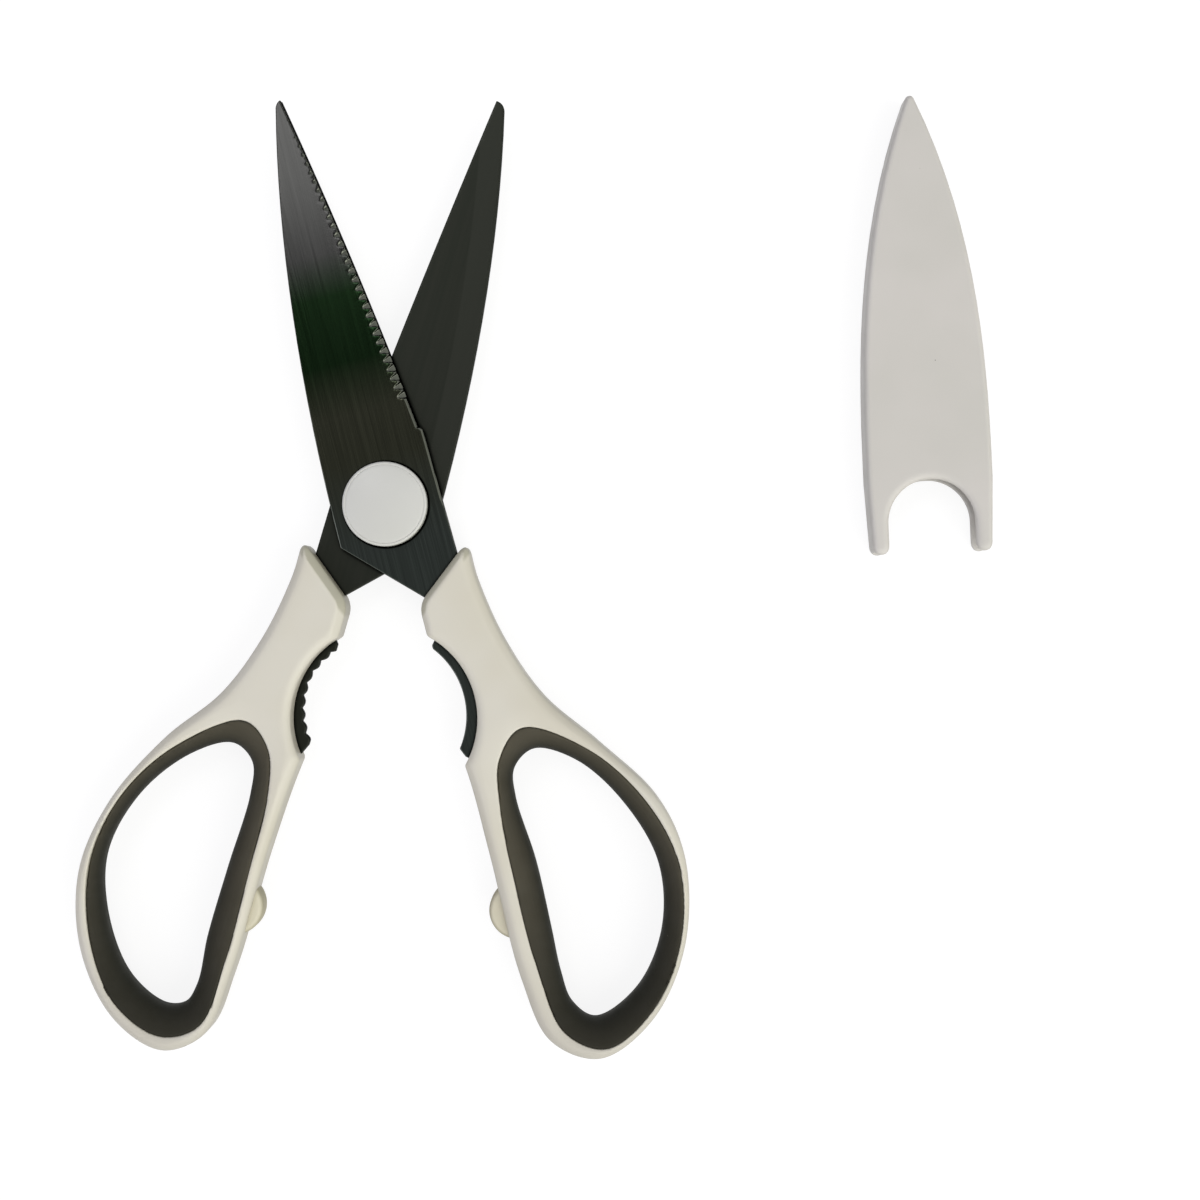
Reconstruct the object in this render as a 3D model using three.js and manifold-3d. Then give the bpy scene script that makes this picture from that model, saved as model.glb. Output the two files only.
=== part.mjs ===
// Kitchen shears with a blade sheath: two blades on one pivot, moulded handles with soft finger
// loops, nut-cracking jaws between the handles, stop bumpers, and a slip-on sheath.
//
// Millimetres. The origin lies on the pivot axis, on the surface that the shears lie on. +Z is up,
// +Y runs midway between the blades towards their tips. The shears lie open, with the sheath taken
// off and lying to their right.
//
// Each half is drawn in its own frame: the pivot at the origin, the seam between the blades at z = 0
// with the blade just below it, the tip towards +Y and the handle towards -X and -Y. That is the left
// half as it lies when the shears are shut. Turned half round about Y it is the right half.

import * as THREE from 'three';
import { mergeVertices } from 'three/addons/utils/BufferGeometryUtils.js';
import Module from 'manifold-3d';

const wasm = await Module();
wasm.setup();

// Fits
const FIT_GAP = 0.1; // between pieces that seat on each other
const RUNNING_GAP = 0.08; // round the pivot screw, in the blades
const BLADE_GAP = 0.1; // between the two blades
const BUMPER_GAP = 0.2; // between the stop bumpers when shut

// The pair as it lies
const OPENING = 30.6; // degrees between the halves
const HANDLE_THICKNESS = 12;

// Blades
const BLADE_THICKNESS = 2.2;
const BLADE_REACH = 88; // pivot to tip
const SPINE_WIDTH = 11.4; // pivot to spine
const SPINE_BEND = 46; // how far up the spine starts to draw in
const TIP_CLIP = 1.3; // height of the blunted tip
const SPINE_AT_TIP = 1.3; // pivot line to spine, below the blunted tip
const EDGE_AT_TIP = 0.85; // pivot line to cutting edge, at the tip
const HEEL_WIDTH = 10.75; // pivot line to cutting edge, at its heel
const HEEL_HEIGHT = 14;
const HEEL_STEP = 0.7; // the step down to the unground neck
const NECK_WIDTH = 11.4; // pivot line to the neck, below the heel
const SHOULDER_DROP = 6.5; // where the spine turns in to the neck, below the pivot
const EDGE_BEVEL = 0.55; // width of the ground bevel, seen square to the blade
const EDGE_LAND = 0.2; // steel left at the cutting edge

// Serrations on the front blade
const SCALLOP_PITCH = 2.02;
const SCALLOP_RADIUS = 0.78;
const SCALLOP_INSET = 0.15; // from the bevel to the middle of the scallop
const SCALLOP_SLOPE = 38; // degrees down towards the edge
const SCALLOP_SKEW = 18; // degrees, leaning towards the heel
const SCALLOPS_FROM_HEEL = 8;
const SCALLOPS_FROM_TIP = 9;

// Nut-cracking jaws: the tang's bare edge in a round notch of the handle
const NOTCH_OUT = 11.9; // centre of the notch beyond the line through the pivot
const NOTCH_DROP = 42.6; // centre of the notch below the pivot
const NOTCH_RADIUS = 19.4;
const NOTCH_CHAMFER = 1.2;
const SMOOTH_JAW = 1.8; // how far the smooth jaw stands out of the handle
const TOOTHED_JAW = 2.3; // the same for the toothed jaw, at its upper end
const TOOTHED_JAW_RISE = 0.8; // how much more it stands out at its lower end
const JAW_START = 138.5; // degrees round the notch
const JAW_END = 217.4;
const JAW_LEAD = 1.5; // degrees from there to where the jaw's end meets the handle
const TOOTH_COUNT = 9;
const TOOTH_DEPTH = 0.6;

// Tang inside the handle
const TANG_DEPTH = 4; // from the notch wall to the back of the tang
const TANG_COVER = 2.6; // plastic on the tang's inner edge
const TANG_HOLE = 2.8; // diameter of the holes that the plastic fills
const TANG_HOLE_DROPS = [25, 36]; // below the pivot

// Handles
const HANDLE_ROUND = 2.4; // edge radius
const END_DISTANCE = 18.2; // pivot to the slanted end
const END_SLANT = 38.6; // degrees
const END_CHAMFER = 1.9;
const END_CORNER = 2.6; // how far the rounded inner corner reaches along its sides
const INNER_SIDE = 1.1; // pivot line to the inner side, above the notch
const HORN_WIDTH = 14; // pivot line to the outer corner of the slanted end, before it is rounded
const HORN_CORNER = 2.2; // how far its rounding reaches along its sides
const HORN_RELIEF = 12; // degrees that the cutter leans away from the handle's outer side
const HANDLE_OUTLINE = [
  [1.5, -20], [0.5, -40], [-2.2, -57.5], [-2.8, -78], [-2.8, -105], [-5.6, -117.2], [-14.8, -123.4],
  [-26.6, -119], [-36.5, -106.5], [-41.7, -88], [-39.2, -72.5], [-31, -58.8], [-22.2, -46.8],
  [-16.9, -33.5], [-14.55, -20], [-13.9, -7], [-8, 3], [0, -5],
];

// Finger loops, with a soft liner between the handle's hole and the opening
const LINER_OUTLINE = [
  [-16.5, -51.9], [-9.7, -55.7], [-7, -65], [-6.35, -82], [-6.1, -102], [-8, -116], [-16, -121.7],
  [-27.5, -115.8], [-36.3, -103.5], [-39.7, -87], [-36.4, -72], [-28.4, -60.3],
];
const FINGER_OPENING = [
  [-17.5, -57], [-12.2, -59.8], [-11, -66], [-11.35, -82], [-11.1, -98], [-10.7, -108.6],
  [-15.8, -113.3], [-24.5, -109.2], [-32.2, -99.8], [-36, -85], [-32.9, -72], [-25.5, -61.1],
];
const LINER_SINK = 0.25; // below the handle's faces
const LINER_ROUND = 2.8; // width of the rounded inner edge
const LINER_ROUND_DEPTH = 3.4;

// Stop bumpers
const BUMPER_RADIUS = 6;
const BUMPER_DROP = 88.6; // below the pivot
const BUMPER_DEPTH = 4.8; // from the pivot line to the bumper's flat back
const BUMPER_THICKNESS = 6;
const BUMPER_ROUND = 0.9;

// Pivot
const CAP_RADIUS = 9;
const CAP_EDGE = 1.3; // edge radius
const CAP_CROWN = 0.5; // how far the front cap's middle stands above its edge
const PIVOT_RADIUS = 3;
const THREAD_RADIUS = 2.4;
const SCREW_HEAD_RADIUS = 5;
const SCREW_HEAD_HEIGHT = 1.5;
const SOCKET_ACROSS = 4; // hexagon socket, across its corners
const SOCKET_DEPTH = 1;
const WASHER_RADIUS = 4.6;
const WASHER_THICKNESS = 0.5;
const NUT_ACROSS = 9.2; // across its corners
const NUT_HEIGHT = 2;
const NUT_ROOM = 0.25; // round the nut, in the rear cap

// Sheath
const SHEATH_WALL = 1.4;
const SHEATH_SIDE_ROOM = 0.4; // beside the blades
const SHEATH_TIP_ROOM = 0.6;
const SHEATH_FACE_ROOM = 0.4; // above and below the blades
const SHEATH_TIP_WIDTH = 0.8; // half the width of the point, before it is rounded
const SHEATH_MOUTH = 6.5; // its arms reach this far below the pivot
const SHEATH_ROUND = 2;
const ARM_CORNER = 2; // rounding at the arms' ends
const ARM_TAPER = 0.6; // how far the arms draw in towards their ends
const CAP_ROOM = 0.4; // round the pivot cap
const SHEATH_PLACE = [114.3, -2.2]; // where its cap cut-out's centre lies
const SHEATH_LEAN = 3.2; // degrees

// Smoothness of the curves
const LOOP_STEPS = 64;
const OUTLINE_STEPS = 80;
const ROUND_STEPS = 3;
const CURVE_STEPS = 10;
const TURN_STEPS = 40;
const TOOTH_STEPS = 6;
const OVERSHOOT = 1; // how far a cutting tool runs past what it cuts
const FAR = 30; // the reach of a cutting tool beside a handle
const WELD = 1e-5; // points closer than this are one
const MITRE_LIMIT = 0.3; // keeps sharp corners from running far out when an outline is moved
const HEXAGON = 6;

// Worked out from the above
const halfThickness = HANDLE_THICKNESS / 2;
const innerFace = -BLADE_GAP / 2;
const outerFace = innerFace - BLADE_THICKNESS;
const capHeight = halfThickness + outerFace - FIT_GAP;
const tipPoint = new THREE.Vector2(-EDGE_AT_TIP, BLADE_REACH);
const heelPoint = new THREE.Vector2(-HEEL_WIDTH, HEEL_HEIGHT);
const notchCentre = new THREE.Vector2(NOTCH_OUT, -NOTCH_DROP);
const bumperCentre = new THREE.Vector2(-BUMPER_GAP / 2 - BUMPER_RADIUS, -BUMPER_DROP);
const radians = THREE.MathUtils.degToRad;
const endOut = new THREE.Vector2(Math.sin(radians(END_SLANT)), Math.cos(radians(END_SLANT)));
const endAlong = new THREE.Vector2(endOut.y, -endOut.x);

// Shapes

// A closed geometry as a solid that can be joined and cut, with its faces turned outward
function solid(geometry) {
  const bare = geometry.clone();
  bare.deleteAttribute('normal');
  bare.deleteAttribute('uv');
  const merged = mergeVertices(bare, WELD);
  const place = merged.attributes.position;
  const corner = [new THREE.Vector3(), new THREE.Vector3(), new THREE.Vector3()];
  const triangles = [];
  let volume = 0;
  for (let i = 0; i < merged.index.count; i += 3) {
    const [a, b, c] = [0, 1, 2].map((k) => merged.index.getX(i + k));
    if (a === b || b === c || c === a) continue;
    [a, b, c].forEach((index, k) => corner[k].fromBufferAttribute(place, index));
    volume += corner[0].dot(corner[1].clone().cross(corner[2]));
    triangles.push(a, b, c);
  }
  if (volume < 0) triangles.reverse();
  return new wasm.Manifold(new wasm.Mesh({
    numProp: 3,
    vertProperties: new Float32Array(place.array),
    triVerts: new Uint32Array(triangles),
  }));
}

// A solid as a named mesh with a material of its own
function piece(name, body, [color, roughness, metalness]) {
  const { vertProperties, triVerts } = body.getMesh();
  const geometry = new THREE.BufferGeometry();
  geometry.setAttribute('position', new THREE.BufferAttribute(vertProperties, 3));
  geometry.setIndex(new THREE.BufferAttribute(triVerts, 1));
  geometry.computeVertexNormals();
  const material = new THREE.MeshStandardMaterial({ color, roughness, metalness });
  const mesh = new THREE.Mesh(geometry, material);
  mesh.name = name;
  return mesh;
}

// A flat outline drawn up between two heights
function prism(outline, low, high) {
  const shape = new THREE.Shape(outline);
  const geometry = new THREE.ExtrudeGeometry(shape, { depth: high - low, bevelEnabled: false });
  return solid(geometry.translate(0, 0, low));
}

// The same with its upper and lower edges rounded inside the outline
function roundedPrism(outline, low, high, round) {
  const geometry = new THREE.ExtrudeGeometry(new THREE.Shape(outline), {
    depth: high - low - 2 * round,
    bevelThickness: round,
    bevelSize: round,
    bevelOffset: -round,
    bevelSegments: ROUND_STEPS,
  });
  return solid(geometry.translate(0, 0, low + round));
}

// A profile of [radius, height] points turned about the Z axis
function turned(profile) {
  const points = profile.map(([radius, height]) => new THREE.Vector2(radius, height));
  return solid(new THREE.LatheGeometry(points, TURN_STEPS).rotateX(Math.PI / 2));
}

// A round bar along Z
function bar(radius, low, high, sides = TURN_STEPS) {
  const geometry = new THREE.CylinderGeometry(radius, radius, high - low, sides);
  return solid(geometry.rotateX(Math.PI / 2).translate(0, 0, (low + high) / 2));
}

// A skin over rows of points. A closed row of rows is a ring, an open one gets flat ends.
function loft(rows, ring) {
  const count = rows[0].length;
  const positions = rows.flat().flatMap((p) => [p.x, p.y, p.z]);
  const index = [];
  for (let i = 0; i < rows.length - (ring ? 0 : 1); i++) {
    const next = (i + 1) % rows.length;
    for (let k = 0; k < count; k++) {
      const [a, b] = [i * count + k, i * count + (k + 1) % count];
      const [c, d] = [next * count + (k + 1) % count, next * count + k];
      index.push(a, b, c, a, c, d);
    }
  }
  if (!ring) {
    const last = (rows.length - 1) * count;
    const origin = rows[0][0];
    const along = rows[0][1].clone().sub(origin);
    const across = along.clone().cross(rows[0][2].clone().sub(origin)).cross(along);
    const flat = rows[0].map((p) => p.clone().sub(origin));
    const outline = flat.map((p) => new THREE.Vector2(p.dot(along), p.dot(across)));
    for (const [a, b, c] of THREE.ShapeUtils.triangulateShape(outline, [])) {
      index.push(c, b, a, last + a, last + b, last + c);
    }
  }
  const geometry = new THREE.BufferGeometry();
  geometry.setAttribute('position', new THREE.Float32BufferAttribute(positions, 3));
  geometry.setIndex(index);
  return solid(geometry);
}

// Evenly spaced points on a smooth closed curve
function loop(points, steps) {
  const curve = new THREE.CatmullRomCurve3(points.map(([x, y]) => new THREE.Vector3(x, y, 0)), true);
  return curve.getSpacedPoints(steps).slice(0, -1).map((p) => new THREE.Vector2(p.x, p.y));
}

// An outline moved outward by the same distance all round
function grown(outline, distance) {
  const inward = THREE.ShapeUtils.isClockWise(outline) ? -1 : 1;
  return outline.map((point, i) => {
    const before = point.clone().sub(outline.at(i - 1)).normalize();
    const after = outline[(i + 1) % outline.length].clone().sub(point).normalize();
    const mitre = before.clone().add(after).normalize();
    const reach = inward * distance / Math.max(mitre.dot(before), MITRE_LIMIT);
    return new THREE.Vector2(point.x + mitre.y * reach, point.y - mitre.x * reach);
  });
}

// The angles of a quarter turn, for rounded edges
function quarterTurn() {
  return Array.from({ length: ROUND_STEPS + 1 }, (_, i) => Math.PI / 2 * i / ROUND_STEPS);
}

// A point on a circle round the notch's centre
function roundNotch(radius, degrees) {
  const angle = radians(degrees);
  return new THREE.Vector2(Math.cos(angle), Math.sin(angle)).multiplyScalar(radius).add(notchCentre);
}

// Blades

// The working edge of a jaw, from its lower end up
function jawEdge(toothed) {
  const steps = toothed ? TOOTH_COUNT * TOOTH_STEPS : 2 * CURVE_STEPS;
  return Array.from({ length: steps + 1 }, (_, i) => {
    const degrees = THREE.MathUtils.lerp(JAW_END, JAW_START, i / steps);
    if (!toothed) return roundNotch(NOTCH_RADIUS - SMOOTH_JAW, degrees);
    const valley = 1 - Math.abs(Math.sin(Math.PI * i / TOOTH_STEPS));
    const height = TOOTHED_JAW + TOOTHED_JAW_RISE * (1 - i / steps) - TOOTH_DEPTH * valley;
    return roundNotch(NOTCH_RADIUS - height, degrees);
  });
}

// The holes that the plastic fills, midway between the tang's edges
function tangHoles() {
  const back = NOTCH_OUT - NOTCH_RADIUS - TANG_DEPTH;
  return TANG_HOLE_DROPS.map((drop) => {
    const notchReach = Math.sqrt(Math.max(NOTCH_RADIUS ** 2 - (NOTCH_DROP - drop) ** 2, 0));
    const front = Math.min(NOTCH_OUT - notchReach, -INNER_SIDE - TANG_COVER);
    return [(back + front) / 2, -drop, TANG_HOLE / 2];
  });
}

// One blade's stamped outline, from the tip down the cutting edge, round the tang and up the spine
function bladeOutline(toothed) {
  const tangInner = INNER_SIDE + TANG_COVER;
  const shape = new THREE.Shape();
  shape.moveTo(tipPoint.x, tipPoint.y);
  shape.lineTo(heelPoint.x, heelPoint.y);
  shape.lineTo(-NECK_WIDTH, HEEL_HEIGHT - HEEL_STEP);
  const backRadius = NOTCH_RADIUS + TANG_DEPTH;
  const tangEnd = JAW_END + JAW_LEAD;
  shape.absarc(notchCentre.x, notchCentre.y, backRadius, Math.PI, radians(tangEnd), false);
  const wallPoint = roundNotch(NOTCH_RADIUS, tangEnd);
  shape.lineTo(wallPoint.x, wallPoint.y);
  for (const point of jawEdge(toothed)) shape.lineTo(point.x, point.y);
  const root = roundNotch(NOTCH_RADIUS + TANG_COVER / 2, JAW_START);
  shape.lineTo(root.x, root.y);
  shape.lineTo(-tangInner, root.y);
  shape.lineTo(-tangInner, -SHOULDER_DROP - SPINE_WIDTH - tangInner);
  shape.lineTo(SPINE_WIDTH, -SHOULDER_DROP);
  shape.lineTo(SPINE_WIDTH, 0);
  shape.quadraticCurveTo(SPINE_WIDTH, SPINE_BEND, SPINE_AT_TIP, BLADE_REACH - TIP_CLIP);
  shape.quadraticCurveTo(SPINE_AT_TIP - TIP_CLIP / 2, BLADE_REACH, tipPoint.x, tipPoint.y);
  return shape.getPoints(CURVE_STEPS).slice(0, -1);
}

// The place of a tool on the cutting edge: X points out of the edge, Y into the blade, Z to the tip
function edgeFrame(along) {
  const toTip = tipPoint.clone().sub(heelPoint).normalize();
  const [x, y, z] = [
    new THREE.Vector3(-toTip.y, toTip.x, 0),
    new THREE.Vector3(0, 0, 1),
    new THREE.Vector3(toTip.x, toTip.y, 0),
  ];
  const place = heelPoint.clone().addScaledVector(toTip, along);
  return new THREE.Matrix4().makeBasis(x, y, z).setPosition(place.x, place.y, outerFace);
}

// What the grinding wheel takes off along the cutting edge
function bevelTool() {
  const top = new THREE.Vector2(-EDGE_BEVEL, 0);
  const slope = new THREE.Vector2(EDGE_BEVEL, BLADE_THICKNESS - EDGE_LAND);
  const start = top.clone().sub(slope);
  const end = top.clone().addScaledVector(slope, 2);
  const shape = new THREE.Shape([start, end, new THREE.Vector2(end.x + OVERSHOOT, start.y)]);
  const depth = tipPoint.distanceTo(heelPoint) + OVERSHOOT;
  const geometry = new THREE.ExtrudeGeometry(shape, { depth, bevelEnabled: false });
  return solid(geometry.applyMatrix4(edgeFrame(0)));
}

// One scallop's grinding tool: a round bar sloping down out of the edge
function scallopTool(along) {
  const length = 2 * (BLADE_THICKNESS + SCALLOP_RADIUS);
  const geometry = new THREE.CylinderGeometry(SCALLOP_RADIUS, SCALLOP_RADIUS, length, CURVE_STEPS);
  geometry.rotateZ(radians(SCALLOP_SLOPE - 90));
  geometry.rotateY(radians(SCALLOP_SKEW));
  geometry.translate(-EDGE_BEVEL - SCALLOP_INSET, 0, 0);
  return solid(geometry.applyMatrix4(edgeFrame(along)));
}

function blade(toothed, serrated) {
  let body = prism(bladeOutline(toothed), outerFace, innerFace).subtract(bevelTool());
  for (const [x, y, radius] of [[0, 0, PIVOT_RADIUS + RUNNING_GAP], ...tangHoles()]) {
    const hole = bar(radius, outerFace - OVERSHOOT, innerFace + OVERSHOOT);
    body = body.subtract(hole.translate([x, y, 0]));
  }
  const lastScallop = tipPoint.distanceTo(heelPoint) - SCALLOPS_FROM_TIP;
  if (serrated) {
    for (let along = SCALLOPS_FROM_HEEL; along < lastScallop; along += SCALLOP_PITCH) {
      body = body.subtract(scallopTool(along));
    }
  }
  return body;
}

// Handles

// The point on the handle's slanted end that lies this far beyond the line through the pivot
function onEnd(x) {
  const foot = endOut.clone().multiplyScalar(-END_DISTANCE);
  return foot.addScaledVector(endAlong, (x - foot.x) / endAlong.x);
}

// The upright cutter that rounds the outer corner of the slanted end
function hornTool() {
  const relief = radians(HORN_RELIEF);
  const rise = new THREE.Vector2(Math.sin(relief), Math.cos(relief));
  const horn = onEnd(-HORN_WIDTH);
  const low = horn.clone().addScaledVector(rise, -FAR / 2);
  const start = horn.clone().addScaledVector(rise, -HORN_CORNER);
  const end = horn.clone().addScaledVector(endAlong, HORN_CORNER);
  const away = end.clone().addScaledVector(endOut, FAR);
  const shape = new THREE.Shape();
  shape.moveTo(low.x, low.y);
  shape.lineTo(start.x, start.y);
  shape.quadraticCurveTo(horn.x, horn.y, end.x, end.y);
  shape.lineTo(away.x, away.y);
  shape.lineTo(low.x - FAR, low.y);
  const past = halfThickness + OVERSHOOT;
  return prism(shape.getPoints(CURVE_STEPS), -past, past);
}

// The shaped cutter that leaves the handle's slanted end, its inner corner and its inner side, all
// with one chamfer: its section is carried along that line
function endTool() {
  const start = onEnd(-HORN_WIDTH - FAR / 2);
  const corner = onEnd(-INNER_SIDE);
  const turn = corner.clone().addScaledVector(endAlong, -END_CORNER);
  const path = new THREE.Path();
  path.moveTo(start.x, start.y);
  path.lineTo(turn.x, turn.y);
  path.quadraticCurveTo(corner.x, corner.y, corner.x, corner.y - END_CORNER);
  path.lineTo(corner.x, notchCentre.y);
  const points = path.getPoints(ROUND_STEPS);
  const [edge, past] = [halfThickness - END_CHAMFER, halfThickness + OVERSHOOT];
  const inset = -END_CHAMFER - OVERSHOOT;
  const section = [[FAR, -past], [inset, -past], [0, -edge], [0, edge], [inset, past], [FAR, past]];
  return loft(points.map((point, i) => {
    const before = points[Math.max(i - 1, 0)];
    const after = points[Math.min(i + 1, points.length - 1)];
    const way = after.clone().sub(before).normalize();
    return section.map(([out, z]) => new THREE.Vector3(point.x - way.y * out, point.y + way.x * out, z));
  }), false);
}

// The turned cutter that leaves the notch, chamfered on both faces
function notchTool() {
  const [edge, past] = [halfThickness - NOTCH_CHAMFER, halfThickness + OVERSHOOT];
  const wide = NOTCH_RADIUS + NOTCH_CHAMFER + OVERSHOOT;
  const lower = [[0, -past], [wide, -past], [NOTCH_RADIUS, -edge]];
  const upper = lower.map(([radius, height]) => [radius, -height]).reverse();
  return turned([...lower, ...upper]).translate([notchCentre.x, notchCentre.y, 0]);
}

// The room for the tang, bridged by the posts that fill the tang's holes
function tangRoom() {
  const [low, high] = [outerFace - FIT_GAP, innerFace + FIT_GAP];
  let room = prism(grown(bladeOutline(false), FIT_GAP), low, high);
  for (const [x, y, radius] of tangHoles()) {
    const post = bar(radius - FIT_GAP, low - OVERSHOOT, high + OVERSHOOT);
    room = room.subtract(post.translate([x, y, 0]));
  }
  return room;
}

// A half-round bumper, or with a clearance the pocket that holds it
function bumper(clearance) {
  const radius = BUMPER_RADIUS + clearance;
  const half = BUMPER_THICKNESS / 2 + clearance;
  const circle = new THREE.Path().absarc(bumperCentre.x, bumperCentre.y, radius, 0, 2 * Math.PI);
  const outline = circle.getPoints(TURN_STEPS / 2).slice(0, -1);
  const disc = roundedPrism(outline, -half, half, BUMPER_ROUND);
  const behind = new THREE.BoxGeometry(2 * radius, 2 * radius + OVERSHOOT, 2 * half + OVERSHOOT);
  behind.translate(-BUMPER_DEPTH - clearance - radius, bumperCentre.y, 0);
  return disc.subtract(solid(behind));
}

function handle() {
  const past = halfThickness + OVERSHOOT;
  const hole = prism(loop(LINER_OUTLINE, LOOP_STEPS), -past, past);
  return roundedPrism(loop(HANDLE_OUTLINE, OUTLINE_STEPS), -halfThickness, halfThickness, HANDLE_ROUND)
    .subtract(hornTool())
    .subtract(endTool())
    .subtract(notchTool())
    .subtract(hole)
    .subtract(tangRoom())
    .subtract(bumper(FIT_GAP));
}

// The soft ring in a finger loop: flat on its faces, with a rounded edge towards the fingers
function liner() {
  const outside = loop(LINER_OUTLINE, LOOP_STEPS);
  const inside = loop(FINGER_OPENING, LOOP_STEPS);
  const face = halfThickness - LINER_SINK;
  return loft(outside.map((wall, i) => {
    const inward = inside[i].clone().sub(wall);
    const width = inward.length();
    inward.normalize();
    const upper = [[FIT_GAP, face]];
    for (const angle of quarterTurn()) {
      const out = width - LINER_ROUND * (1 - Math.sin(angle));
      upper.push([out, face - LINER_ROUND_DEPTH * (1 - Math.cos(angle))]);
    }
    const lower = upper.map(([out, z]) => [out, -z]).reverse();
    return [...upper, ...lower].map(([out, z]) => {
      return new THREE.Vector3(wall.x + inward.x * out, wall.y + inward.y * out, z);
    });
  }), true);
}

// Pivot

// A cap with a rounded edge, its open side at height 0 and a round room inside
function cap(roomRadius, roomHeight, crown) {
  const profile = [[0, roomHeight], [roomRadius, roomHeight], [roomRadius, 0], [CAP_RADIUS, 0]];
  const edgeTop = capHeight - crown;
  const flat = CAP_RADIUS - CAP_EDGE;
  for (const angle of quarterTurn()) {
    profile.push([flat + CAP_EDGE * Math.cos(angle), edgeTop - CAP_EDGE * (1 - Math.sin(angle))]);
  }
  if (crown) {
    for (let i = ROUND_STEPS - 1; i > 0; i--) {
      const out = i / ROUND_STEPS;
      profile.push([flat * out, edgeTop + crown * (1 - out * out)]);
    }
  }
  profile.push([0, capHeight]);
  return turned(profile);
}

// The shoulder screw, its head's underside at height 0
function pivotScrew() {
  const shoulder = 2 * BLADE_THICKNESS + BLADE_GAP + FIT_GAP;
  const end = shoulder + FIT_GAP + WASHER_THICKNESS + FIT_GAP + NUT_HEIGHT;
  const top = SCREW_HEAD_HEIGHT;
  const body = turned([
    [0, -end], [THREAD_RADIUS, -end], [THREAD_RADIUS, -shoulder], [PIVOT_RADIUS, -shoulder],
    [PIVOT_RADIUS, 0], [SCREW_HEAD_RADIUS, 0], [SCREW_HEAD_RADIUS, top], [0, top],
  ]);
  return body.subtract(bar(SOCKET_ACROSS / 2, top - SOCKET_DEPTH, top + OVERSHOOT, HEXAGON));
}

function washer() {
  const bore = THREAD_RADIUS + FIT_GAP;
  return turned([
    [bore, 0], [WASHER_RADIUS, 0], [WASHER_RADIUS, WASHER_THICKNESS], [bore, WASHER_THICKNESS], [bore, 0],
  ]);
}

function nut() {
  const bore = bar(THREAD_RADIUS + FIT_GAP, -OVERSHOOT, NUT_HEIGHT + OVERSHOOT);
  return bar(NUT_ACROSS / 2, 0, NUT_HEIGHT, HEXAGON).subtract(bore);
}

// Sheath

// Its outline inside or outside the wall, from one mouth corner round the point to the other
function sheathOutline(wall, mouth, corner, taper) {
  const width = SPINE_WIDTH + SHEATH_SIDE_ROOM + wall;
  const reach = BLADE_REACH + SHEATH_TIP_ROOM + wall;
  const arm = width - taper;
  const shape = new THREE.Shape();
  shape.moveTo(-arm + corner, -mouth);
  shape.lineTo(arm - corner, -mouth);
  shape.quadraticCurveTo(arm, -mouth, arm, -mouth + corner);
  shape.lineTo(width, CAP_RADIUS);
  shape.bezierCurveTo(width, reach / 3, width, 2 * reach / 3, SHEATH_TIP_WIDTH, reach - SHEATH_TIP_WIDTH);
  shape.quadraticCurveTo(0, reach, -SHEATH_TIP_WIDTH, reach - SHEATH_TIP_WIDTH);
  shape.bezierCurveTo(-width, 2 * reach / 3, -width, reach / 3, -width, CAP_RADIUS);
  shape.lineTo(-arm, -mouth + corner);
  shape.quadraticCurveTo(-arm, -mouth, -arm + corner, -mouth);
  return shape.getPoints(CURVE_STEPS).slice(0, -1);
}

// The cut-out that hugs the pivot cap, flared at the arms' ends
function capCutOut() {
  const radius = CAP_RADIUS + CAP_ROOM;
  const flare = ARM_CORNER;
  const shape = new THREE.Shape();
  shape.moveTo(-radius - flare, -SHEATH_MOUTH - OVERSHOOT);
  shape.lineTo(radius + flare, -SHEATH_MOUTH - OVERSHOOT);
  shape.lineTo(radius + flare, -SHEATH_MOUTH);
  shape.quadraticCurveTo(radius, -SHEATH_MOUTH, radius, -SHEATH_MOUTH + flare);
  shape.absarc(0, 0, radius, 0, Math.PI, false);
  shape.lineTo(-radius, -SHEATH_MOUTH + flare);
  shape.quadraticCurveTo(-radius, -SHEATH_MOUTH, -radius - flare, -SHEATH_MOUTH);
  return shape.getPoints(CURVE_STEPS);
}

function sheath() {
  const inner = BLADE_THICKNESS + BLADE_GAP / 2 + SHEATH_FACE_ROOM;
  const outer = inner + SHEATH_WALL;
  const upper = quarterTurn().map((angle) => {
    const inset = SHEATH_ROUND * (1 - Math.cos(angle));
    const height = outer - SHEATH_ROUND * (1 - Math.sin(angle));
    const outline = sheathOutline(SHEATH_WALL - inset, SHEATH_MOUTH - inset, ARM_CORNER, ARM_TAPER);
    return outline.map((p) => new THREE.Vector3(p.x, p.y, height));
  });
  const lower = upper.map((row) => row.map((p) => new THREE.Vector3(p.x, p.y, -p.z))).reverse();
  const shell = loft([...lower, ...upper], false);
  const room = prism(sheathOutline(0, SHEATH_MOUTH + OVERSHOOT, OVERSHOOT / 2, 0), -inner, inner);
  const cutOut = prism(capCutOut(), -outer - OVERSHOOT, outer + OVERSHOOT);
  return shell.subtract(room).subtract(cutOut).translate([0, 0, outer]);
}

// Assembly: colour, roughness, metalness
const COATED_STEEL = [0x2b2e28, 0.35, 0.9];
const BRIGHT_STEEL = [0xa8a9a6, 0.3, 1];
const PALE_PLASTIC = [0xd6d3c4, 0.45, 0];
const CAP_PLASTIC = [0xcfd0c9, 0.4, 0];
const SOFT_LINER = [0x4f4b43, 0.7, 0];
const CREAM_RUBBER = [0xd9d4bb, 0.6, 0];
const SHEATH_PLASTIC = [0xcdcac0, 0.45, 0];

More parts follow.
